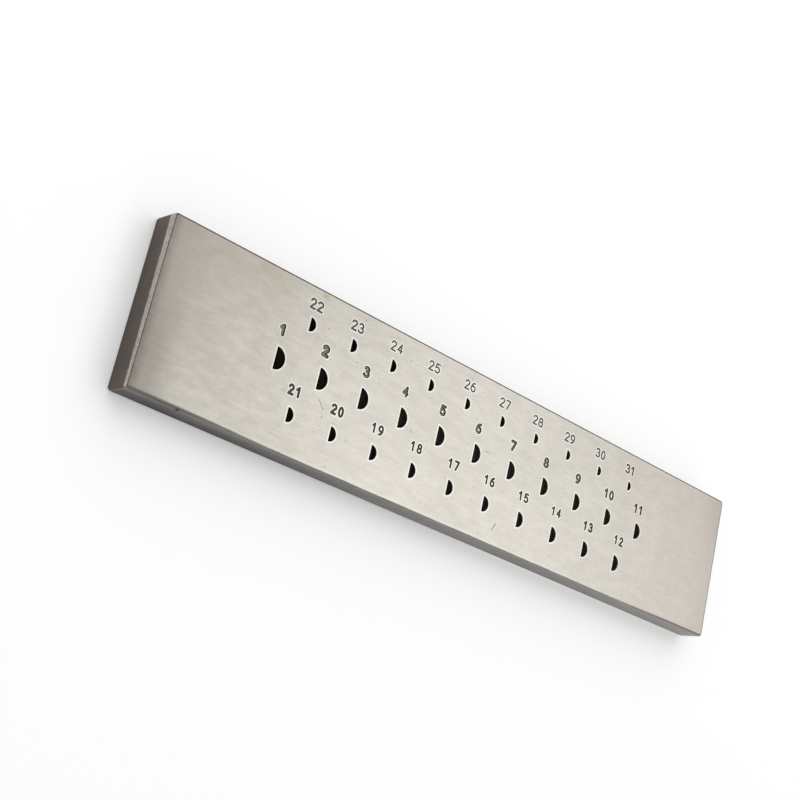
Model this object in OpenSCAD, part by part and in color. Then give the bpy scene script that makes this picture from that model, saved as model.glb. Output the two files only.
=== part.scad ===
// Wire draw plate with half-round die holes, in millimetres.
// The plate lies on its back face at z = 0. +Z leaves the numbered face, +X runs along the length.

/* [Plate] */
// Length along X
plate_l = 232.5; // [200:0.5:300]
// Width along Y
plate_w = 47.5; // [44:0.1:70]
// Thickness along Z
plate_t = 9; // [7:0.1:16]
// Radius of the four upright corners
corner_r = 1.2; // [0.6:0.1:4]
// Chamfer on the long edges
edge_break = 0.7; // [0.2:0.1:1.5]
// Chamfer on the end edges
end_break = 0.4; // [0.2:0.1:1.5]
// Height of the bevel ground on the left end, down from the numbered face
bevel_h = 2.2; // [1:0.1:5]
// Depth of that bevel at the numbered face
bevel_d = 0.3; // [0.1:0.1:3]

/* [Die holes] */
// Holes in the middle row, one more than in each outer row
row_holes = 11; // [2:1:13]
// Distance between neighbours in a row
hole_pitch = 15; // [11:0.1:18]
// Distance between two rows
row_gap = 12.9; // [11:0.1:15]
// Flat side of hole 1, the largest
first_chord = 6.2; // [3:0.1:8]
// Flat side of the last hole, the smallest
last_chord = 2.8; // [0.8:0.1:6]
// Length of the parallel bearing at the numbered face
bearing_l = 1.5; // [0.5:0.1:3]
// Angle of the tapered approach behind the bearing
approach_angle = 7; // [2:0.5:12]
// Depth of the flared mouth in the back face
mouth_l = 1.2; // [0.4:0.1:3]
// Angle of the flared mouth
mouth_angle = 30; // [15:1:45]

/* [Hidden] */
$fn = 64;
// How far a cut runs past the face that it opens
overrun = 0.5;
hole_count = 3 * row_holes - 2;
approach_l = plate_t - bearing_l - mouth_l;
approach_out = approach_l * tan(approach_angle);
mouth_out = approach_out + (mouth_l + overrun) * tan(mouth_angle);

// Numbers run left to right in the middle row, back along the bottom row and again along the top row
function in_row(n) = n <= row_holes ? 0 : n < 2 * row_holes ? -1 : 1;
function place_in_row(n) =
    in_row(n) == 0 ? n - (row_holes + 1) / 2
    : in_row(n) < 0 ? 3 * row_holes / 2 - n
    : n - (5 * row_holes / 2 - 1);
function hole_at(n) = [place_in_row(n) * hole_pitch, in_row(n) * row_gap, 0];
// Flat side of a hole: the sizes fall in equal steps
function chord(n) = first_chord + (last_chord - first_chord) * (n - 1) / (hole_count - 1);
// Wall of a die hole from the numbered face down, as [distance from the axis, height]
function wall_line(r) = [
    [r, plate_t + overrun], [r, plate_t - bearing_l], [r + approach_out, mouth_l], [r + mouth_out, -overrun]
];

// Rectangle about the origin with chamfered corners
module broken_rect(w, h, c) {
    polygon([
        [c - w / 2, -h / 2], [w / 2 - c, -h / 2],
        [w / 2, c - h / 2], [w / 2, h / 2 - c],
        [w / 2 - c, h / 2], [c - w / 2, h / 2],
        [-w / 2, h / 2 - c], [-w / 2, c - h / 2]
    ]);
}

// Rectangle about the origin with round corners
module rounded_rect(w, h, r) {
    square([w - 2 * r, h], center = true);
    square([w, h - 2 * r], center = true);
    for (x = [-1, 1], y = [-1, 1])
        translate([x * (w / 2 - r), y * (h / 2 - r)])
            circle(r);
}

// Side view of the plate: the bevel is on the upper left corner
module side_profile() {
    polygon([
        [end_break - plate_l / 2, 0], [plate_l / 2 - end_break, 0],
        [plate_l / 2, end_break], [plate_l / 2, plate_t - end_break],
        [plate_l / 2 - end_break, plate_t], [bevel_d - plate_l / 2, plate_t],
        [-plate_l / 2, plate_t - bevel_h], [-plate_l / 2, end_break]
    ]);
}

module blank() {
    intersection() {
        linear_extrude(height = plate_t)
            rounded_rect(plate_l, plate_w, corner_r);
        translate([-plate_l / 2, 0, plate_t / 2])
            rotate([90, 0, 90])
                linear_extrude(height = plate_l)
                    broken_rect(plate_w, plate_t, edge_break);
        rotate([90, 0, 0])
            linear_extrude(height = plate_w, center = true)
                side_profile();
    }
}

// One die hole, centred on the origin: a revolved section, cut off by a flat side that faces -X
module die_hole(width) {
    r = width / 2;
    reach = width + mouth_out;
    translate([-r / 2, 0, 0])
        intersection() {
            rotate_extrude()
                polygon(concat([[0, -overrun], [0, plate_t + overrun]], wall_line(r)));
            rotate([90, 0, 0])
                linear_extrude(height = 2 * reach, center = true)
                    mirror([1, 0])
                        polygon(concat([[-reach, -overrun], [-reach, plate_t + overrun]], wall_line(0)));
        }
}

module draw_plate() {
    color("silver")
        difference() {
            blank();
            for (n = [1:hole_count])
                translate(hole_at(n))
                    die_hole(chord(n));
        }
}

draw_plate();
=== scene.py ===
"""Wire draw plate: the dressed plate, its floor, lights and camera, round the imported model."""

import math
import random

import bmesh
import bpy
import numpy as np
from mathutils import Matrix, Vector
from mathutils.geometry import delaunay_2d_cdt


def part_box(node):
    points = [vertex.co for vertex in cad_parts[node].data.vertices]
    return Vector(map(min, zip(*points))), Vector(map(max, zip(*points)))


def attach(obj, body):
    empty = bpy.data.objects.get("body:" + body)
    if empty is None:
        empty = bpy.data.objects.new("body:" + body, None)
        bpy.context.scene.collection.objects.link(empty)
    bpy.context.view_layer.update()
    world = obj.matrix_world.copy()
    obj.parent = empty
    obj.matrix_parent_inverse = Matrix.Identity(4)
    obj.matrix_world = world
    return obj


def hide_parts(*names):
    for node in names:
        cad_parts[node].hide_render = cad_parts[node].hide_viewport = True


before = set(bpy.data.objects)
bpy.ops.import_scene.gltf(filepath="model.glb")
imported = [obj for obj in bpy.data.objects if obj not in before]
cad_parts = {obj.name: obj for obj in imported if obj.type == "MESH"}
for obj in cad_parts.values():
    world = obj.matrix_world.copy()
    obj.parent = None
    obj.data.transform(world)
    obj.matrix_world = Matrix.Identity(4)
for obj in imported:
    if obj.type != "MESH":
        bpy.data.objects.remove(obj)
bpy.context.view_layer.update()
plate_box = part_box("draw_plate")
random.seed(31)

# Lengths are in millimetres until the mesh is made
MM = 0.001
LENGTH, WIDTH, THICK = [(hi - lo) / MM for lo, hi in zip(*plate_box)]
# Upright corners at the left and the right end
CORNERS, CORNER_STEPS = {-1: 0.85, 1: 1.3}, 8
# What stays of their radius where the edges next to them are broken deepest
CORNER_LEFT_OVER = 0.1
# Steps along each half of the left end
END_STEPS = 8

# Die holes, as in the part's source: numbered along the middle, the bottom and the top row
HOLES = range(1, 32)
MIDDLE_LAST, BOTTOM_LAST = 11, 21
PITCH, ROW_GAP = 15.0, 12.9
FIRST_CHORD, LAST_CHORD = 6.2, 2.8
BEARING, MOUTH = 1.5, 1.2
APPROACH_ANGLE, MOUTH_ANGLE = 7, 30
APPROACH_OUT = (THICK - BEARING - MOUTH) * math.tan(math.radians(APPROACH_ANGLE))
MOUTH_OUT = APPROACH_OUT + MOUTH * math.tan(math.radians(MOUTH_ANGLE))
# Worn rim of a hole in each row, and the burnished land round it
RIMS, LAND = {1: 0.09, 0: 0.10, -1: 0.13}, 0.42
# Steps along each half of a hole's round side, and the share of its radius that counts as inside
HOLE_STEPS, INSIDE_SHARE = 16, 0.998


def rounding(r, steps):
    """A rounded edge as (depth from the face, inset of the outline)."""
    turns = [math.pi / 2 * k / steps for k in range(steps + 1)]
    return [(r * (1 - math.cos(a)), r * (1 - math.sin(a))) for a in turns]


# Broken edges: along the back, along the front towards +Y, -Y and +X, and at the back of the ends
BACK_EDGE = [
    (0.0, 0.95), (0.02, 0.80), (0.08, 0.66), (0.20, 0.50), (0.35, 0.35),
    (0.50, 0.20), (0.66, 0.08), (0.80, 0.02), (0.95, 0.0),
]
UPPER_EDGE, LOWER_EDGE, RIGHT_EDGE = rounding(0.55, 8), rounding(0.5, 8), rounding(0.9, 8)
END_EDGE = rounding(0.32, 6)

# Bevel ground on the left end: height at the middle, its growth towards +Y, slope and rounded rim
BEVEL_HEIGHT, BEVEL_GROWTH, BEVEL_SLOPE = 1.68, 0.0225, 0.130
BEVEL_RIM = [(0.0, 0.23), (0.02, 0.15), (0.08, 0.08), (0.20, 0.025), (0.35, 0.0)]
# Depths of the outlines across it, below the rim
BEVEL_DEPTHS = [0.35 + 0.2 * k for k in range(11)]

# Materials of the plate, in the order of its slots
FACE, STAMP, HOLE, EDGE, BURNISH = range(5)


class Shell:
    """Vertices and faces of the plate as they are gathered, with a material for each face."""

    def __init__(self):
        self.verts, self.faces, self.slots = [], [], []

    def add(self, verts, faces, slots):
        """Adds vertices, the faces between them and the faces' materials."""
        start = len(self.verts)
        self.verts += verts
        self.faces += [[start + i for i in f] for f in faces]
        self.slots += slots

    def loft(self, rings, slot):
        """Quads between closed rings of equal length."""
        n = len(rings[0])
        faces = [
            [k * n + i, k * n + (i + 1) % n, (k + 1) * n + (i + 1) % n, (k + 1) * n + i]
            for k in range(len(rings) - 1)
            for i in range(n)
        ]
        self.add([v for r in rings for v in r], faces, [slot] * len(faces))


def inset_at(edge, depth):
    """Inset of a broken edge at a depth from its face."""
    return float(np.interp(depth, [d for d, _ in edge], [i for _, i in edge]))


def bevel_at(y, depth):
    """Inset of the left end at a depth from the numbered face."""
    cut = BEVEL_SLOPE * max(0.0, BEVEL_HEIGHT + BEVEL_GROWTH * y - depth)
    return cut + inset_at(BEVEL_RIM, depth)


def outline(left, right, upper, lower, z):
    """The plate's rounded outline at a height, pulled in at the ends and the long sides.

    The inset of the left end is a function of y.
    """
    ring = []
    for sx, sy, start in ((1, 1, 0), (-1, 1, 90), (-1, -1, 180), (1, -1, 270)):
        r = max(CORNERS[sx], max(upper, lower) + CORNER_LEFT_OVER)
        half_l, half_w = LENGTH / 2 - r, WIDTH / 2 - r
        for k in range(CORNER_STEPS + 1):
            a = math.radians(start + 90 * k / CORNER_STEPS)
            y = sy * half_w + (r - (upper if sy > 0 else lower)) * math.sin(a)
            rx = r - (right if sx > 0 else left(y))
            ring.append((sx * half_l + rx * math.cos(a), y, z))
        if start == 90:
            # The upper left corner is done, and the left end follows
            for k in range(1, 2 * END_STEPS):
                y = half_w * (1 - k / END_STEPS)
                ring.append((left(y) - LENGTH / 2, y, z))
    return ring


def place(n):
    """Row (-1 bottom, 0 middle, 1 top) and centre of a hole."""
    if n <= MIDDLE_LAST:
        return 0, (n - (1 + MIDDLE_LAST) / 2) * PITCH, 0.0
    if n <= BOTTOM_LAST:
        return -1, ((MIDDLE_LAST + 1 + BOTTOM_LAST) / 2 - n) * PITCH, -ROW_GAP
    return 1, (n - (BOTTOM_LAST + 1 + HOLES[-1]) / 2) * PITCH, ROW_GAP


def radius(n):
    """Radius of a hole: the flat sides fall in equal steps."""
    return (FIRST_CHORD + (LAST_CHORD - FIRST_CHORD) * (n - 1) / (HOLES[-1] - 1)) / 2


def hole_ring(n, out, z):
    """Half-round outline of a hole, grown by a distance, with its flat side towards -X."""
    _, x, y = place(n)
    r = radius(n)
    end = math.acos(-out / (r + out))
    turns = [end * (k / HOLE_STEPS - 1) for k in range(2 * HOLE_STEPS + 1)]
    return [
        (x - r / 2 + (r + out) * math.cos(a), y + (r + out) * math.sin(a), z) for a in turns
    ]


def in_hole(n, out, x, y):
    """Whether a point lies in a hole that is grown by a distance."""
    _, cx, cy = place(n)
    r = radius(n)
    dx, dy = x - (cx - r / 2), y - cy
    return dx > -out and math.hypot(dx, dy) < (r + out) * INSIDE_SHARE


# Kind of result of the triangulation, only what the loops enclose, and the reach of one point
INSIDE, SAME_POINT = 1, 1e-5


def fill(loops):
    """Triangles over the area inside the outermost of some closed loops, which all stay as edges."""
    points, edges = [], []
    for ring in loops:
        start = len(points)
        points += [Vector(p[:2]) for p in ring]
        edges += [(start + i, start + (i + 1) % len(ring)) for i in range(len(ring))]
    verts, _, faces, *_ = delaunay_2d_cdt(points, edges, [], INSIDE, SAME_POINT)
    return [(v.x, v.y) for v in verts], [list(f) for f in faces]


def centre_of(verts, f):
    """Middle of a flat face's corners."""
    return sum(verts[i][0] for i in f) / len(f), sum(verts[i][1] for i in f) / len(f)


# Strokes of the stamped figures, on a unit square, as (points, whether they close)
def arc(cx, cy, rx, ry, start, end, steps=14):
    """Points along an ellipse between two angles in degrees."""
    turns = [math.radians(start + (end - start) * k / steps) for k in range(steps + 1)]
    return [(cx + rx * math.cos(a), cy + ry * math.sin(a)) for a in turns]


def curve(a, b, c, d, steps=10):
    """Cubic curve from a to d."""
    out = []
    for k in range(steps + 1):
        t = k / steps
        w = ((1 - t) ** 3, 3 * t * (1 - t) ** 2, 3 * t * t * (1 - t), t ** 3)
        out.append(tuple(sum(wi * p[j] for wi, p in zip(w, (a, b, c, d))) for j in (0, 1)))
    return out


def loop(cx, cy, rx, ry):
    """A closed ellipse in 24 steps."""
    return arc(cx, cy, rx, ry, 0, 345, 23), True


def line(*points):
    """An open stroke."""
    return list(points), False


SIX = [
    loop(0.5, 0.31, 0.5, 0.31),
    (curve((0.0, 0.34), (0.02, 0.70), (0.30, 0.96), (0.82, 1.0)), False),
]
FIGURES = {
    "0": [loop(0.5, 0.5, 0.46, 0.5)],
    "1": [line((0.08, 0.74), (0.56, 1.0)), line((0.56, 1.0), (0.56, 0.0))],
    "2": [
        (arc(0.5, 0.74, 0.47, 0.26, 170, -28, 12) + [(0.52, 0.38), (0.02, 0.0)], False),
        line((0.02, 0.0), (1.0, 0.0)),
    ],
    "3": [
        (arc(0.46, 0.765, 0.43, 0.235, 155, -90), False),
        (arc(0.46, 0.265, 0.52, 0.265, 90, -155), False),
    ],
    "4": [
        line((0.72, 1.0), (0.72, 0.0)),
        line((0.72, 1.0), (0.0, 0.28)),
        line((0.0, 0.28), (1.0, 0.28)),
    ],
    "5": [
        line((0.92, 1.0), (0.14, 1.0)),
        line((0.14, 1.0), (0.06, 0.52)),
        (arc(0.45, 0.32, 0.53, 0.32, 145, -145, 18), False),
    ],
    "6": SIX,
    "7": [line((0.0, 1.0), (1.0, 1.0)), line((1.0, 1.0), (0.36, 0.0))],
    "8": [loop(0.5, 0.755, 0.42, 0.245), loop(0.5, 0.265, 0.5, 0.265)],
    "9": [([(1 - x, 1 - y) for x, y in pts], closed) for pts, closed in SIX],
}

# Steps round the end of a stroke
CAP_STEPS = 8
# Section of a groove as (share of the half stroke, share of the depth)
GROOVE_FLOOR, GROOVE_FOOT, GROOVE_TOP = (0.45, 1.0), (0.7, 0.75), (0.97, 0.0)


def rims(points, closed, half):
    """Closed outlines that run at a distance from a stroke's centreline."""
    p = np.array(points)
    if closed:
        along = np.roll(p, -1, 0) - np.roll(p, 1, 0)
    else:
        along = np.gradient(p, axis=0)
    along /= np.linalg.norm(along, axis=1)[:, None]
    left = np.stack([-along[:, 1], along[:, 0]], 1) * half
    if closed:
        return [(p + left).tolist(), (p - left).tolist()]
    caps = []
    for end, back in ((-1, 0.0), (0, math.pi)):
        a = math.atan2(left[end][1], left[end][0]) + back
        turns = [a - math.pi * k / CAP_STEPS for k in range(1, CAP_STEPS)]
        caps.append([(p[end] + half * np.array((math.cos(t), math.sin(t)))).tolist() for t in turns])
    return [(p + left).tolist() + caps[0] + (p - left)[::-1].tolist() + caps[1]]


def gaps_to(strokes, points):
    """Distance from each point to the nearest centreline."""
    starts, ends = [], []
    for line_points, closed in strokes:
        a = np.array(line_points)
        b = np.roll(a, -1, 0)
        starts.append(a if closed else a[:-1])
        ends.append(b if closed else b[:-1])
    a, d = np.concatenate(starts), np.concatenate(ends) - np.concatenate(starts)
    p = np.array(points)[:, None, :]
    t = np.clip(((p - a) * d).sum(2) / (d * d).sum(1), 0, 1)
    return np.linalg.norm(p - a - t[..., None] * d, axis=2).min(1)


def groove(shell, strokes, half, depth, box, burr):
    """A rectangle of the numbered face with flat-bottomed grooves pressed into it."""
    x0, y0, x1, y1 = box
    loops = [[(x0, y0), (x1, y0), (x1, y1), (x0, y1)]]
    reaches = [half, GROOVE_FOOT[0] * half, GROOVE_FLOOR[0] * half]
    reaches += [half + burr] if burr else []
    for points, closed in strokes:
        for reach in reaches:
            loops += rims(points, closed, reach)
    flat, faces = fill(loops)
    section = zip(GROOVE_FLOOR, GROOVE_FOOT, GROOVE_TOP)
    drop = depth * np.interp(gaps_to(strokes, flat) / half, *section)
    verts = [(x, y, THICK - d) for (x, y), d in zip(flat, drop)]
    gaps = gaps_to(strokes, [centre_of(flat, f) for f in faces])
    slots = [STAMP if g < half else BURNISH if g < half + burr else FACE for g in gaps]
    shell.add(verts, faces, slots)


# Rows of numbers: height of their middle and its tilt along the row, shift from the holes and its
# creep, size of a figure, half stroke and depth
ROWS = {
    1: {
        "y": 18.5, "tilt": -0.003, "x": -0.6, "creep": -0.0045,
        "size": (2.15, 3.08), "half": 0.255, "depth": 0.22,
    },
    0: {
        "y": 7.62, "tilt": -0.0048, "x": -1.3, "creep": 0.0,
        "size": (2.5, 3.4), "half": 0.44, "depth": 0.3,
    },
    -1: {
        "y": -5.8, "tilt": 0.0052, "x": -0.45, "creep": 0.0,
        "size": (2.05, 3.1), "half": 0.335, "depth": 0.28,
    },
}
# Numbers that were struck harder or softer than the rest, as a share of their row's half stroke
STRIKES = {
    1: 1.28, 2: 1.32, 3: 1.1, 5: 1.06, 7: 1.14, 10: 0.92, 11: 0.86, 13: 1.12, 14: 0.9, 17: 1.06,
    20: 1.14, 21: 1.16, 22: 1.22, 23: 1.15, 29: 1.08, 30: 1.12, 31: 1.26,
}
# Distance between two figures, bright burr along their strokes and plain border round a number
STEP, BURR, BORDER = 2.5, 0.3, 0.55
# How far a number may stand off its place, and how many degrees a figure may lean
OFF_X, OFF_Y, LEAN = 0.08, 0.06, 1.5

# Short scratches in the face as (start, end, half width, depth, bright burr), and their border
SCRATCHES = [
    ((11.8, -19.3), (13.0, -17.0), 0.11, 0.06, 0.0),
    ((-59.7, -5.3), (-57.6, -7.6), 0.08, 0.04, 0.0),
    ((2.8, 1.85), (4.7, 2.35), 0.05, 0.02, 0.0),
    ((78.7, 21.3), (78.2, 19.9), 0.06, 0.03, 0.0),
    ((-101.9, 13.8), (-102.0, 12.6), 0.03, 0.02, 0.17),
]
SCRATCH_BORDER = 0.4


def number_strokes(n):
    """Centrelines of a hole's number on the numbered face, and the rectangle round them."""
    side, x, _ = place(n)
    row = ROWS[side]
    wide, tall = row["size"]
    run, rise = wide - 2 * row["half"], tall - 2 * row["half"]
    mid = row["y"] + row["tilt"] * x + random.uniform(-OFF_Y, OFF_Y)
    x += row["x"] + row["creep"] * x + random.uniform(-OFF_X, OFF_X)
    strokes = []
    for k, figure in enumerate(str(n)):
        centre = Vector((x + (k - (len(str(n)) - 1) / 2) * STEP, mid))
        turn = Matrix.Rotation(math.radians(random.uniform(-LEAN, LEAN)), 2)
        for points, closed in FIGURES[figure]:
            sized = [Vector(((u - 0.5) * run, (v - 0.5) * rise)) for u, v in points]
            strokes.append(([tuple(turn @ p + centre) for p in sized], closed))
    half_x, half_y = len(str(n)) * STEP / 2 + BORDER, tall / 2 + BORDER
    return strokes, (x - half_x, mid - half_y, x + half_x, mid + half_y)


def press_marks(shell):
    """Numbers and scratches, each in a patch of the numbered face; returns the patches."""
    patches = []
    for n in HOLES:
        strokes, box = number_strokes(n)
        row = ROWS[place(n)[0]]
        groove(shell, strokes, row["half"] * STRIKES.get(n, 1.0), row["depth"], box, BURR)
        patches.append(box)
    for start, end, half, depth, burr in SCRATCHES:
        box = (
            min(start[0], end[0]) - SCRATCH_BORDER, min(start[1], end[1]) - SCRATCH_BORDER,
            max(start[0], end[0]) + SCRATCH_BORDER, max(start[1], end[1]) + SCRATCH_BORDER,
        )
        groove(shell, [line(start, end)], half, depth, box, burr)
        patches.append(box)
    return patches


def add_sides(shell):
    """Sides from the back face up; returns the outlines of the back and of the numbered face."""
    rings = []
    for d in sorted({d for d, _ in BACK_EDGE + END_EDGE}):
        end, side = inset_at(END_EDGE, d), inset_at(BACK_EDGE, d)
        rings.append(outline(lambda y: end, end, side, side, d))
    depths = {d for d, _ in UPPER_EDGE + LOWER_EDGE + RIGHT_EDGE + BEVEL_RIM} | set(BEVEL_DEPTHS)
    for d in sorted(depths, reverse=True):
        insets = [inset_at(edge, d) for edge in (RIGHT_EDGE, UPPER_EDGE, LOWER_EDGE)]
        rings.append(outline(lambda y: bevel_at(y, d), *insets, THICK - d))
    shell.loft(rings, EDGE)
    return rings[0], rings[-1]


def add_face(shell, ring, holes, z, patches=(), land=0.0):
    """A face of the plate round its holes and patches, with a burnished land round each hole.

    The holes are given as (number, how far they are grown).
    """
    loops = [ring] + [hole_ring(n, out, z) for n, out in holes]
    loops += [[(a, b), (c, b), (c, d), (a, d)] for a, b, c, d in patches]
    if land:
        loops += [hole_ring(n, out + land, z) for n, out in holes]
    flat, faces = fill(loops)
    kept, slots = [], []
    for f in faces:
        x, y = centre_of(flat, f)
        if any(in_hole(n, out, x, y) for n, out in holes):
            continue
        if any(a < x < c and b < y < d for a, b, c, d in patches):
            continue
        kept.append(f if z > 0 else f[::-1])
        burnished = land and any(in_hole(n, out + land, x, y) for n, out in holes)
        slots.append(BURNISH if burnished else FACE)
    shell.add([(x, y, z) for x, y in flat], kept, slots)


# Welding distance and least edge, in metres
WELD, LEAST_EDGE = 1e-6, 1e-7
# Kinds of faces by the upward share of their direction and by their longest edge in metres
UPRIGHT, LEVEL, LONG = 0.02, 0.9995, 0.01
# Shading stays smooth below this angle, in radians
SMOOTH = 0.25


def make_mesh(shell):
    """Closed mesh from the gathered faces, with smooth shading on its rounded parts."""
    mesh = bpy.data.meshes.new("draw_plate_body")
    mesh.from_pydata([Vector(v) * MM for v in shell.verts], [], shell.faces)
    mesh.polygons.foreach_set("material_index", shell.slots)
    bm = bmesh.new()
    bm.from_mesh(mesh)
    bmesh.ops.remove_doubles(bm, verts=bm.verts, dist=WELD)
    bmesh.ops.dissolve_degenerate(bm, edges=bm.edges, dist=LEAST_EDGE)
    loose = [v for v in bm.verts if not v.link_faces]
    bmesh.ops.delete(bm, geom=loose, context="VERTS")
    bmesh.ops.recalc_face_normals(bm, faces=bm.faces)
    for f in bm.faces:
        f.smooth = True
    # Shading runs smoothly over rounded runs of faces and stops where they meet flat or long ones
    kinds = [
        (
            f.material_index,
            UPRIGHT < abs(f.normal.z) < LEVEL,
            max(e.calc_length() for e in f.edges) > LONG,
        )
        for f in bm.faces
    ]
    bm.faces.index_update()
    for e in bm.edges:
        same = len({kinds[f.index] for f in e.link_faces}) == 1
        e.smooth = same and e.calc_face_angle(math.pi) < SMOOTH
    bm.to_mesh(mesh)
    bm.free()
    return mesh


def build_plate():
    """The plate with its holes, marks and worn edges, as one closed mesh."""
    shell = Shell()
    patches = press_marks(shell)
    back, front = add_sides(shell)
    rim = {n: RIMS[place(n)[0]] for n in HOLES}
    add_face(shell, front, list(rim.items()), THICK, patches, LAND)
    add_face(shell, back, [(n, MOUTH_OUT) for n in HOLES], 0.0)
    for n in HOLES:
        wall = [
            (rim[n], THICK), (0.0, THICK - rim[n]), (0.0, THICK - BEARING),
            (APPROACH_OUT, MOUTH), (MOUTH_OUT, 0.0),
        ]
        shell.loft([hole_ring(n, out, z) for out, z in wall], HOLE)
    plate = bpy.data.objects.new("draw_plate_body", make_mesh(shell))
    bpy.context.scene.collection.objects.link(plate)
    return plate


class Nodes:
    """A node tree, with the steps that its surfaces are put together from."""

    def __init__(self, tree):
        self.tree = tree
        tree.nodes.clear()

    def add(self, kind, **settings):
        node = self.tree.nodes.new(kind)
        for key, value in settings.items():
            setattr(node, key, value)
        return node

    def put(self, socket, value):
        """Links an output to a socket, or sets a plain value."""
        if isinstance(value, bpy.types.NodeSocket):
            self.tree.links.new(value, socket)
        else:
            socket.default_value = value

    def math(self, operation, *values, clamp=False):
        node = self.add("ShaderNodeMath", operation=operation, use_clamp=clamp)
        for socket, value in zip(node.inputs, values):
            self.put(socket, value)
        return node.outputs[0]

    def times(self, product, *factors):
        for factor in factors:
            product = self.math("MULTIPLY", product, factor)
        return product

    def split(self, vector):
        """X, Y and Z of a vector."""
        node = self.add("ShaderNodeSeparateXYZ")
        self.put(node.inputs[0], vector)
        return tuple(node.outputs)

    def span(self, value, a, b, low=0.0, high=1.0):
        """Smooth step of a value from a to b, onto low to high."""
        node = self.add("ShaderNodeMapRange", interpolation_type="SMOOTHSTEP")
        keys = ("Value", "From Min", "From Max", "To Min", "To Max")
        for key, v in zip(keys, (value, a, b, low, high)):
            self.put(node.inputs[key], v)
        return node.outputs[0]

    def mix(self, factor, first, second):
        """From the first tone to the second; a plain tone is its red, green and blue."""
        node = self.add("ShaderNodeMix", data_type="RGBA")
        self.put(node.inputs[0], factor)
        for index, tone in ((6, first), (7, second)):
            self.put(node.inputs[index], (*tone, 1) if isinstance(tone, tuple) else tone)
        return node.outputs[2]

    def lay(self, colour, tone, *shares):
        """A tone laid over a colour by the product of some shares."""
        return self.mix(self.times(*shares), colour, tone)

    def stretched(self, where, scale, stretch=(1, 1, 1)):
        """A place with its scale in features per millimetre along each axis."""
        node = self.add("ShaderNodeMapping", vector_type="POINT")
        self.put(node.inputs["Vector"], where)
        node.inputs["Scale"].default_value = [scale * s / MM for s in stretch]
        return node.outputs[0]

    def noise(self, where, scale, stretch=(1, 1, 1), detail=3.0, rough=0.6):
        """Noise with its scale in features per millimetre along each axis."""
        node = self.add("ShaderNodeTexNoise", noise_dimensions="3D")
        self.put(node.inputs["Vector"], self.stretched(where, scale, stretch))
        node.inputs["Scale"].default_value = 1.0
        node.inputs["Detail"].default_value = detail
        node.inputs["Roughness"].default_value = rough
        return node.outputs["Fac"]

    def spot(self, where, x, y, z, radius):
        """1 at a point of the plate, falling to 0 at a radius, in millimetres."""
        node = self.add("ShaderNodeVectorMath", operation="DISTANCE")
        self.put(node.inputs[0], where)
        node.inputs[1].default_value = (x * MM, y * MM, z * MM)
        return self.span(node.outputs["Value"], radius * MM, 0.0)

    def seen(self, open_share=1.0):
        """1 for rays that see a surface: mirrored, through glass, or straight where it is open."""
        path = self.add("ShaderNodeLightPath")
        seen = self.times(path.outputs["Is Camera Ray"], open_share)
        seen = self.math("ADD", seen, path.outputs["Is Glossy Ray"])
        return self.math("ADD", seen, path.outputs["Is Transmission Ray"], clamp=True)


def material(name):
    """A new material, its nodes, its shader, and the place and the direction on the plate."""
    made = bpy.data.materials.new(name)
    made.use_nodes = True
    n = Nodes(made.node_tree)
    out = n.add("ShaderNodeOutputMaterial")
    shader = n.add("ShaderNodeBsdfPrincipled")
    n.put(out.inputs["Surface"], shader.outputs[0])
    where = n.add("ShaderNodeTexCoord")
    return made, n, shader, where.outputs["Object"], where.outputs["Normal"]


def coat(n, shader, colour, roughness, height, metallic, strength, distance):
    """Colour, polish and fine relief of a steel surface."""
    n.put(shader.inputs["Base Color"], colour)
    shader.inputs["Metallic"].default_value = metallic
    n.put(shader.inputs["Roughness"], roughness)
    node = n.add("ShaderNodeBump")
    node.inputs["Strength"].default_value = strength
    node.inputs["Distance"].default_value = distance
    n.put(node.inputs["Height"], height)
    n.put(shader.inputs["Normal"], node.outputs[0])


# Tones of the ground face; places along and across it are in metres from here on
STEEL, PALE_STEEL = (0.70, 0.664, 0.59), (0.74, 0.7095, 0.634)
MOTTLED, GRITTY = (0.62, 0.58, 0.515), (0.56, 0.525, 0.465)
STREAKED, LINED = (0.57, 0.535, 0.475), (0.53, 0.495, 0.44)
# The second tone below is a painted highlight along the face's edge towards -Y
POLISHED, PAINTED_EDGE_HIGHLIGHT = (0.96, 0.94, 0.90), (0.95, 0.92, 0.86)
# The second tone below is painted shade along the face's edge towards -Y, near the ends
SPECK, PAINTED_EDGE_SHADE = (0.16, 0.14, 0.11), (0.21, 0.20, 0.183)
DULL, BROWN, DARK_END = (0.45, 0.422, 0.372), (0.45, 0.405, 0.335), (0.20, 0.188, 0.158)
WARM_RIGHT, WARM_LEFT = (0.80, 0.7075, 0.647), (0.69, 0.62, 0.55)
LEFT_STAIN, RIGHT_STAIN = (0.30, 0.275, 0.235), (0.42, 0.385, 0.35)
RUST, HAZE = (0.42, 0.28, 0.13), (0.52, 0.43, 0.31)
# Specks: cells per millimetre, share of cells without one, least size and growth of a speck
SPECK_CELLS, SPECK_NONE, SPECK_LEAST, SPECK_GROWTH = 0.42, 0.62, 0.03, 0.07


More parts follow.
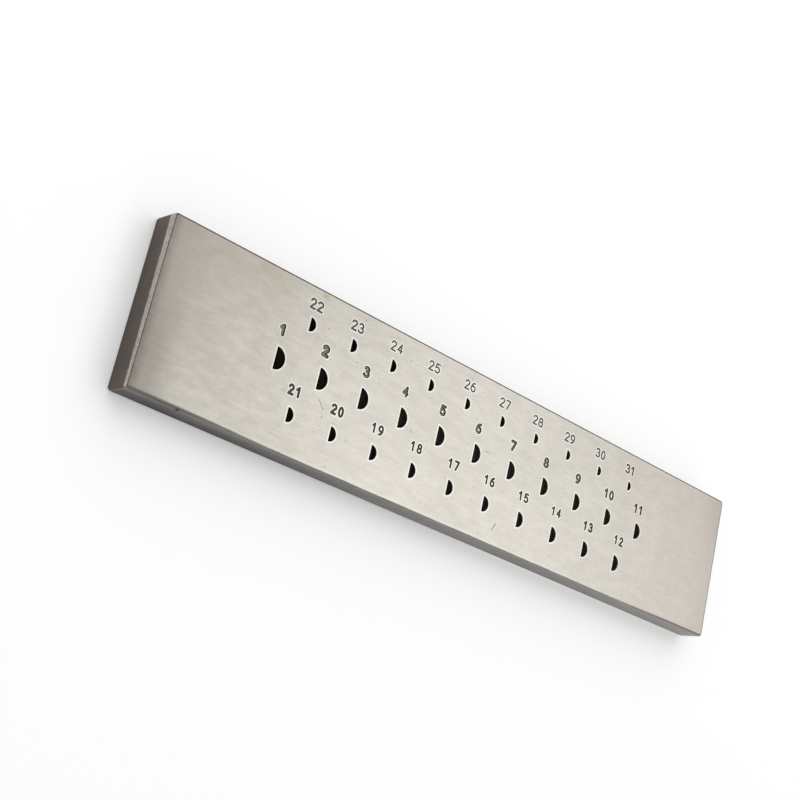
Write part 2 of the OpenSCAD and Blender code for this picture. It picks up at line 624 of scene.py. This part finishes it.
def ground_face(name, polish):
    """Ground steel: grain along the length, faint mottling, dark specks and a few stains."""
    made, n, shader, at, _ = material(name)
    x, y, _ = n.split(at)
    outward = n.math("ABSOLUTE", x)
    fine = n.noise(at, 6.0, (0.10, 1.0, 1.0))
    streak = n.noise(at, 1.4, (0.14, 1.0, 1.0))
    grit = n.noise(at, 1.7, (0.75, 1.0, 1.0))
    cloud = n.noise(at, 0.07, (0.6, 1.0, 1.0), detail=4.0)
    patch = n.noise(at, 0.35, (0.5, 1.0, 1.0))
    colour = n.mix(n.span(cloud, 0.3, 0.7), STEEL, PALE_STEEL)
    # Mottling and the grit between the lines are stronger towards both ends, the lines to the left
    mottled = n.span(outward, 0.05, 0.095, 0.20, 0.46)
    colour = n.lay(colour, MOTTLED, n.span(patch, 0.35, 0.75), mottled)
    calm = n.span(x, -0.05, 0.09, 1.0, 0.85)
    colour = n.lay(colour, STREAKED, n.span(streak, 0.3, 0.75, high=0.09), calm)
    colour = n.lay(colour, LINED, n.span(fine, 0.35, 0.8, high=0.09), calm)
    gritty = n.span(outward, 0.02, 0.09, 0.08, 0.36)
    colour = n.lay(colour, GRITTY, n.span(grit, 0.35, 0.75), gritty)
    colour = n.lay(colour, POLISHED, polish)

    # Dark specks in loose groups, fainter towards both ends
    cells = n.add("ShaderNodeTexVoronoi", voronoi_dimensions="2D", feature="F1")
    n.put(cells.inputs["Vector"], n.stretched(at, SPECK_CELLS))
    cells.inputs["Scale"].default_value = 1.0
    lot = n.add("ShaderNodeSeparateColor")
    n.put(lot.inputs[0], cells.outputs["Color"])
    chosen = n.math("GREATER_THAN", lot.outputs[0], SPECK_NONE)
    size = n.math("MULTIPLY_ADD", lot.outputs[1], SPECK_GROWTH, SPECK_LEAST)
    dot = n.math("LESS_THAN", cells.outputs["Distance"], size)
    group = n.span(n.noise(at, 0.09, detail=2.0, rough=0.5), 0.48, 0.62)
    to_right, to_left = n.span(x, -0.03, 0.06, 0.6, 0.3), n.span(x, -0.094, -0.076, 0.2)
    colour = n.lay(colour, SPECK, dot, chosen, group, to_right, to_left)

    # Duller and browner towards the left end, with a dark ragged edge, and warmer to the right
    colour = n.lay(colour, DULL, n.span(x, -0.05, -0.095, high=0.12))
    colour = n.lay(colour, BROWN, n.span(x, -0.100, -0.1165, high=0.25))
    ragged = n.math("MULTIPLY_ADD", n.noise(at, 0.25, detail=2.0, rough=0.5), 0.0016, x)
    colour = n.lay(colour, DARK_END, n.span(ragged, -0.1118, -0.1157, high=0.8))
    colour = n.lay(colour, WARM_RIGHT, n.span(x, 0.05, 0.11, high=0.45))
    # A warm upper left corner, and stains in the lower left and the upper right one
    colour = n.lay(colour, WARM_LEFT, n.spot(at, -104.0, 22.0, THICK, 42.0), 0.4)
    lower, upper = n.span(y, 0.020, -0.016), n.span(y, -0.005, 0.022, 0.3)
    colour = n.lay(colour, LEFT_STAIN, n.span(x, -0.102, -0.1135, high=0.5), lower)
    colour = n.lay(colour, RIGHT_STAIN, n.span(x, 0.104, 0.1165, high=0.3), upper)
    # The face gets a painted highlight along its edge towards -Y, and painted shade there near the
    # ends, where the edge would round off more broadly
    inside = n.times(n.span(x, 0.08, 0.04), n.span(x, -0.108, -0.100))
    colour = n.lay(colour, PAINTED_EDGE_HIGHLIGHT, n.span(y, -0.0225, -0.0229, high=0.2), inside)
    at_left, at_right = n.span(x, -0.06, -0.105, high=0.0006), n.span(x, 0.065, 0.105, high=0.00036)
    from_edge = n.math("SUBTRACT", y, n.math("ADD", at_left, at_right))
    # Painted shade along the edge towards -Y near both ends
    colour = n.lay(colour, PAINTED_EDGE_SHADE, n.span(from_edge, -0.02325, -0.0235, high=0.85))
    # Small rust stains by the upper edge
    rust = n.span(n.noise(at, 1.2, detail=2.0, rough=0.5), 0.35, 0.6)
    colour = n.lay(colour, RUST, n.spot(at, -65.6, 22.5, THICK, 2.0), rust, 0.55)
    haze = n.span(cloud, 0.35, 0.6, high=0.3)
    colour = n.lay(colour, HAZE, n.spot(at, -82.0, 21.5, THICK, 11.0), haze)

    rough = n.span(n.math("ADD", streak, patch), 0.6, 1.4, 0.22, 0.27)
    height = n.math("MULTIPLY_ADD", streak, 0.1, fine)
    coat(n, shader, colour, rough, height, metallic=1.0, strength=0.04, distance=0.00002)
    return made


# Tones of the stamped figures and of the die holes
# The first two tones below are the groove walls' painted shade, mixed with grime
STAMP_SHADE_AND_GRIME, STAMP_PALE_SHADE_AND_GRIME = (0.045, 0.04, 0.033), (0.13, 0.12, 0.105)
STAMP_FLOOR, STAMP_LOW_FLOOR = (0.34, 0.315, 0.28), (0.19, 0.176, 0.155)
OILY, THINLY_OILY, SMALL_HOLE = (0.03, 0.027, 0.021), (0.075, 0.068, 0.052), (0.19, 0.172, 0.14)
# Painted shade deep in the holes, and painted light near their top
PAINTED_SHADE_DEEP_LARGE, PAINTED_SHADE_DEEP_SMALL, PAINTED_LIGHT_HOLE_TOP = (0.018, 0.015, 0.012), (0.22, 0.20, 0.165), (0.19, 0.17, 0.14)
GLINT_LARGE, GLINT_SMALL = (0.45, 0.42, 0.38), (0.9, 0.87, 0.82)


def stamped():
    """Floor and walls of the stamped figures: rough metal with grime, the walls painted dark as
    shade, the upward floors lighter, darkest in the lower row.
    """
    made, n, shader, at, normal = material("stamped_steel")
    _, y, _ = n.split(at)
    _, _, up = n.split(normal)
    grime = n.noise(at, 2.2)
    # Groove walls painted dark as shade, with grime; floors that face up are lighter
    colour = n.mix(n.span(grime, 0.3, 0.7), STAMP_SHADE_AND_GRIME, STAMP_PALE_SHADE_AND_GRIME)
    flat = n.mix(n.span(y, -0.001, -0.003), STAMP_FLOOR, STAMP_LOW_FLOOR)
    colour = n.lay(colour, flat, n.span(up, 0.85, 0.99))
    rough = n.span(grime, 0.3, 0.7, 0.62, 0.48)
    coat(n, shader, colour, rough, grime, metallic=0.85, strength=0.3, distance=0.00003)
    return made


def die_wall():
    """Walls of the die holes: dark with drawing oil, blacker in the larger holes, to the left, with
    painted shade deeper down and painted light near the top.
    """
    made, n, shader, at, _ = material("die_hole_wall")
    x, _, z = n.split(at)
    film = n.noise(at, 0.9, (1.0, 1.0, 0.5))
    turned = n.noise(at, 5.0, (0.3, 0.3, 1.0), detail=2.0, rough=0.5)
    small = n.span(x, -0.08, 0.05)
    colour = n.mix(n.span(film, 0.3, 0.7), OILY, THINLY_OILY)
    colour = n.lay(colour, SMALL_HOLE, small, 0.6)
    # Painted shade deeper down in the holes
    colour = n.lay(colour, n.mix(small, PAINTED_SHADE_DEEP_LARGE, PAINTED_SHADE_DEEP_SMALL), n.span(z, 0.0075, 0.004))
    # Painted light near the top of the smaller holes
    colour = n.lay(colour, PAINTED_LIGHT_HOLE_TOP, n.span(z, 0.0072, 0.0086, high=0.8), small)
    n.put(shader.inputs["Specular Tint"], n.mix(small, GLINT_LARGE, GLINT_SMALL))
    rough = n.span(film, 0.3, 0.7, 0.35, 0.55)
    coat(n, shader, colour, rough, turned, metallic=0.9, strength=0.2, distance=0.00002)
    return made


# Tones of the sides, their edges and the bevel
MILLED, PALE_MILLED = (0.215, 0.205, 0.19), (0.275, 0.265, 0.248)
# Painted light on the sides towards the right, and the dark steel of the left end with painted shade
# leading to it
PAINTED_LIGHT_RIGHT, DARK_END_AND_PAINTED_SHADE = (0.33, 0.315, 0.295), (0.105, 0.094, 0.084)
MILL_LINE, MILL_PIT = (0.085, 0.08, 0.072), (0.15, 0.135, 0.12)
# Painted light on the upper side, painted shade and grime lower down, and a painted highlight along
# the side's top
PAINTED_LIGHT_SIDE_TOP, SHADE_AND_GRIME, PAINTED_SIDE_HIGHLIGHT = (0.24, 0.23, 0.21), (0.04, 0.037, 0.033), (0.60, 0.57, 0.52)
UPPER_FRONT, RIGHT_FRONT = (0.175, 0.166, 0.152), (0.185, 0.185, 0.185)
# The first tone below is a painted highlight along the edge towards -Y
PAINTED_SHINE, PIT = (0.95, 0.915, 0.85), (0.02, 0.018, 0.015)
# The second tone below is a painted highlight on the left upright corner
RIGHT_CORNER, PAINTED_HIGHLIGHT_LEFT_CORNER = (0.40, 0.38, 0.35), (0.34, 0.32, 0.295)
# A painted reflection of the floor on the back edge, and painted contact shadow
PAINTED_REFLECTION_BACK, PAINTED_CONTACT_SHADOW = (0.80, 0.78, 0.74), (0.03, 0.027, 0.024)
BROWN_SIDE, BROWN_BORDER = (0.105, 0.083, 0.068), (0.15, 0.10, 0.085)
BEVEL_PIT, BEVEL_STEEL = (0.31, 0.27, 0.24), (0.56, 0.51, 0.465)
# How ragged the bevel's lower border is, in metres
RAGGED = 0.0009


def edge_steel():
    """Milled sides: grey with grain along them, painted light towards the right and painted shade
    towards the left, a dark end, painted highlights and shade at the edges, and the bright ground
    bevel at its top.
    """
    made, n, shader, at, normal = material("milled_edge_steel")
    x, y, z = n.split(at)
    face_x, face_y, face_z = n.split(normal)
    grain = n.noise(at, 5.0, (0.03, 0.03, 1.0))
    cloud = n.noise(at, 0.12, (0.5, 1.0, 1.5), detail=4.0)
    pits = n.noise(at, 3.0, rough=0.7)
    blotch = n.noise(at, 0.6, (0.4, 1.0, 1.0))
    colour = n.mix(n.span(cloud, 0.3, 0.7), MILLED, PALE_MILLED)
    # Painted light towards the right end, and painted shade deepening into the dark steel of the left
    # end
    colour = n.lay(colour, PAINTED_LIGHT_RIGHT, n.span(x, 0.03, 0.115, high=0.8))
    colour = n.lay(colour, DARK_END_AND_PAINTED_SHADE, n.span(x, 0.01, -0.105, high=0.94))
    colour = n.lay(colour, MILL_LINE, n.span(grain, 0.35, 0.8, high=0.35))
    colour = n.lay(colour, MILL_PIT, n.span(pits, 0.55, 0.75, high=0.3))

    # The long side towards -Y gets painted light on its upper part and painted shade downwards near
    # the left end, is darker by the left corner, and has a blotchy painted highlight along its top
    lip = n.times(n.span(face_y, -0.1, -0.4), n.span(face_z, 0.15, 0.4))
    low_side = n.math("MAXIMUM", n.span(face_y, -0.72, -0.92), lip)
    left = n.times(low_side, n.span(x, -0.03, -0.085))
    # Painted light above and painted shade below, near the left end
    colour = n.lay(colour, PAINTED_LIGHT_SIDE_TOP, left, n.span(z, 0.0050, 0.0090, high=0.85))
    colour = n.lay(colour, SHADE_AND_GRIME, left, n.span(z, 0.0068, 0.001, high=0.8))
    colour = n.lay(colour, SHADE_AND_GRIME, low_side, n.span(x, -0.092, -0.108, high=0.22))
    off_ends = n.span(n.math("ABSOLUTE", x), 0.098, 0.06)
    # A blotchy painted highlight along the top of the side, away from the ends
    painted_band = n.times(n.span(z, 0.0074, 0.0086, high=0.14), off_ends)
    colour = n.lay(colour, PAINTED_SIDE_HIGHLIGHT, painted_band, n.span(blotch, 0.3, 0.7, 0.2, 1.6), low_side)

    # Front edges: dark towards +Y and at the right end, and towards -Y a painted highlight where the
    # face runs out into the edge
    front = n.span(face_z, 0.02, 0.5)
    colour = n.lay(colour, UPPER_FRONT, front, n.span(face_y, 0.08, 0.36))
    colour = n.lay(colour, RIGHT_FRONT, front, n.span(face_x, 0.03, 0.2))
    painted_shine = n.times(
        n.span(face_y, -0.48, -0.26), n.span(y, 0.0, -0.001), n.span(blotch, 0.3, 0.55, 0.75),
        n.span(n.math("ABSOLUTE", face_x), 0.45, 0.15), n.span(face_z, 0.0, 0.2), off_ends,
    )
    colour = n.lay(colour, PAINTED_SHINE, painted_shine)
    # A small dark pit in the edge towards -Y, near the left end
    pit = n.math("MULTIPLY", n.spot(at, -100.6, -23.75, 8.4, 0.85), 1.8, clamp=True)
    colour = n.lay(colour, PIT, pit)
    # Upright corners of the side towards -Y: pale to the right, and a painted highlight as a bright
    # line to the left
    colour = n.lay(colour, RIGHT_CORNER, n.span(face_x, 0.15, 0.5), n.span(face_y, -0.15, -0.5))
    painted_crease = n.times(n.span(face_x, -0.60, -0.45), n.span(face_x, -0.10, -0.28))
    colour = n.lay(colour, PAINTED_HIGHLIGHT_LEFT_CORNER, painted_crease, n.span(face_y, -0.5, -0.8, high=0.5))

    # The back edge gets a painted reflection of the floor towards -Y, but for its left part, and
    # painted contact shadow at the left end
    back = n.times(n.span(face_z, -0.05, -0.4), n.span(face_y, -0.2, -0.5))
    colour = n.lay(colour, PAINTED_REFLECTION_BACK, back, n.span(x, -0.03, 0.04))
    # Painted contact shadow on the back edge of the left end
    colour = n.lay(colour, PAINTED_CONTACT_SHADOW, n.span(face_z, -0.05, -0.5), n.span(face_x, -0.3, -0.6))

    # Bevel on the left end: bright, speckled, with an uneven lower border and a brown tint below
    foot = -RAGGED / 2 - (THICK - BEVEL_HEIGHT) * MM
    ragged = n.math("MULTIPLY_ADD", n.noise(at, 0.9, detail=4.0, rough=0.7), RAGGED, foot)
    level = n.math("ADD", n.math("MULTIPLY_ADD", y, BEVEL_GROWTH, z), ragged)
    at_end = n.span(face_x, -0.6, -0.9)
    colour = n.lay(colour, BROWN_SIDE, at_end, 0.45)
    colour = n.lay(colour, BROWN_BORDER, n.span(level, -0.0016, -0.0002, high=0.5), at_end)
    bevel = n.mix(n.span(pits, 0.4, 0.62), BEVEL_PIT, BEVEL_STEEL)
    colour = n.lay(colour, bevel, n.span(level, -0.0001, 0.0001), at_end)

    rough = n.span(cloud, 0.3, 0.7, 0.42, 0.54)
    height = n.math("MULTIPLY_ADD", pits, 0.6, grain)
    coat(n, shader, colour, rough, height, metallic=1.0, strength=0.3, distance=0.00003)
    return made


# How far the plain face and the burnished rims are polished
FACE_POLISH, RIM_POLISH = 0.0, 0.8

plate = build_plate()
for made in (
    ground_face("ground_steel_face", FACE_POLISH), stamped(), die_wall(), edge_steel(),
    ground_face("burnished_rim", RIM_POLISH),
):
    plate.data.materials.append(made)
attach(plate, "root")
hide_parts("draw_plate")

# The floor's half side and drop below the plate, in metres, and the tone of its paper
FLOOR_HALF, FLOOR_DROP, PAPER = 3.0, 0.00005, (0.80, 0.80, 0.80, 1)
# How far in from its outline the plate surely hides the floor, in millimetres
COVERED = 1.5
# The floor's lift: the distances between which it rises, in metres, and its strength at both
LIFT_NEAR, LIFT_FAR, LIFT_LEAST, LIFT_MOST = 0.5, 2.6, 0.25, 0.65


def build_floor():
    """White paper that keeps the plate's shadow; its lift ends where the plate lies on it."""
    bm = bmesh.new()
    bmesh.ops.create_grid(bm, x_segments=8, y_segments=8, size=FLOOR_HALF)
    mesh = bpy.data.meshes.new("floor")
    bm.to_mesh(mesh)
    bm.free()
    floor = bpy.data.objects.new("floor", mesh)
    floor.location.z = -FLOOR_DROP
    bpy.context.scene.collection.objects.link(floor)
    made = bpy.data.materials.new("floor_paper")
    made.use_nodes = True
    n = Nodes(made.node_tree)
    out = n.add("ShaderNodeOutputMaterial")
    paper = n.add("ShaderNodeBsdfDiffuse")
    paper.inputs["Color"].default_value = PAPER
    at = n.add("ShaderNodeTexCoord").outputs["Object"]
    x, y, _ = n.split(at)
    beside = n.math("GREATER_THAN", n.math("ABSOLUTE", x), (LENGTH / 2 - COVERED) * MM)
    along = n.math("GREATER_THAN", n.math("ABSOLUTE", y), (WIDTH / 2 - COVERED) * MM)
    off = n.add("ShaderNodeVectorMath", operation="LENGTH")
    n.put(off.inputs[0], at)
    glow = n.span(off.outputs["Value"], LIFT_NEAR, LIFT_FAR, LIFT_LEAST, LIFT_MOST)
    lift = n.add("ShaderNodeEmission")
    n.put(lift.inputs["Strength"], n.times(n.seen(n.math("MAXIMUM", beside, along)), glow))
    both = n.add("ShaderNodeAddShader")
    n.put(both.inputs[0], paper.outputs[0])
    n.put(both.inputs[1], lift.outputs[0])
    n.put(out.inputs["Surface"], both.outputs[0])
    mesh.materials.append(made)


# Heights between which the studio falls off, as the upward share of a direction
LOW_SKY, HIGH_SKY = 0.12, 0.55
# Its strength below and above them, and how much whiter it is low down where it is seen
LOW_STRENGTH, HIGH_STRENGTH, LOW_WHITE = 1.0, 0.40, 0.25
# Bright panel: its direction, how askew it lies, where it begins and how strong it is
PANEL, PANEL_SKEW, PANEL_EDGE, PANEL_POWER = (0.6235, 0.2203, 0.7501), 0.12, 0.950, 1.16
# Sideways angle as (slope, offset) on the panel's short side and on its long one, towards -Y
PANEL_SHORT, PANEL_LONG = (1.15, -0.1190), (0.15, 0.1761)


def build_world():
    """White studio: pale all round, falling off overhead, with one soft bright panel to the right."""
    world = bpy.data.worlds.new("studio")
    bpy.context.scene.world = world
    world.use_nodes = True
    n = Nodes(world.node_tree)
    out = n.add("ShaderNodeOutputWorld")
    sky = n.add("ShaderNodeBackground")
    x, y, z = n.split(n.add("ShaderNodeTexCoord").outputs["Generated"])
    dome = n.span(z, LOW_SKY, HIGH_SKY, LOW_STRENGTH, HIGH_STRENGTH)
    # The larger of the two sideways angles counts
    askew = n.math("MULTIPLY_ADD", x, PANEL_SKEW, y)
    away, across = [n.math("MULTIPLY_ADD", askew, *side) for side in (PANEL_SHORT, PANEL_LONG)]
    bent = n.add("ShaderNodeCombineXYZ")
    for socket, value in zip(bent.inputs, (x, n.math("MAXIMUM", away, across), z)):
        n.put(socket, value)
    even = n.add("ShaderNodeVectorMath", operation="NORMALIZE")
    n.put(even.inputs[0], bent.outputs[0])
    towards = n.add("ShaderNodeVectorMath", operation="DOT_PRODUCT")
    n.put(towards.inputs[0], even.outputs[0])
    towards.inputs[1].default_value = PANEL
    panel = n.span(towards.outputs["Value"], PANEL_EDGE, 1.0, high=PANEL_POWER)
    white = n.times(n.seen(), n.span(z, LOW_SKY, HIGH_SKY, LOW_WHITE, 0.0))
    n.put(sky.inputs["Strength"], n.math("ADD", n.math("ADD", dome, panel), white))
    n.put(out.inputs["Surface"], sky.outputs[0])


# The key lamp lights the floor from behind the plate
KEY_AT, KEY_SIZE, KEY_POWER = Vector((0.12, 0.85, 1.25)), 3.0, 25.0


def build_key():
    """A broad lamp, aimed at the plate's middle, that the steel doesn't mirror."""
    light = bpy.data.lights.new("key", "AREA")
    light.shape = "DISK"
    light.size = KEY_SIZE
    light.energy = KEY_POWER
    lamp = bpy.data.objects.new("key", light)
    lamp.location = KEY_AT
    lamp.rotation_euler = (-KEY_AT).to_track_quat("-Z", "Y").to_euler()
    lamp.visible_glossy = False
    bpy.context.scene.collection.objects.link(lamp)


# Camera fitted to the photograph: place, directions of the picture's right and top, and lens
CAMERA_AT = (-0.284700, -0.117670, 0.323323)
CAMERA_RIGHT = Vector((0.71854854, 0.21701363, 0.66075191))
CAMERA_UP = Vector((-0.35404779, 0.93188877, 0.07895242))
SENSOR, LENS = 36.0, 67.644


def build_camera():
    """The photograph's view: above the left end, rolled so that the plate runs down to the right."""
    data = bpy.data.cameras.new("camera")
    data.sensor_width = SENSOR
    data.lens = LENS
    data.clip_start, data.clip_end = 0.01, 20.0
    camera = bpy.data.objects.new("camera", data)
    back = CAMERA_RIGHT.cross(CAMERA_UP)
    turn = Matrix((CAMERA_RIGHT, CAMERA_UP, back)).transposed().to_4x4()
    camera.matrix_world = Matrix.Translation(CAMERA_AT) @ turn
    bpy.context.scene.collection.objects.link(camera)
    bpy.context.scene.camera = camera


build_floor()
build_world()
build_key()
build_camera()
bpy.context.scene.view_settings.view_transform = "Standard"
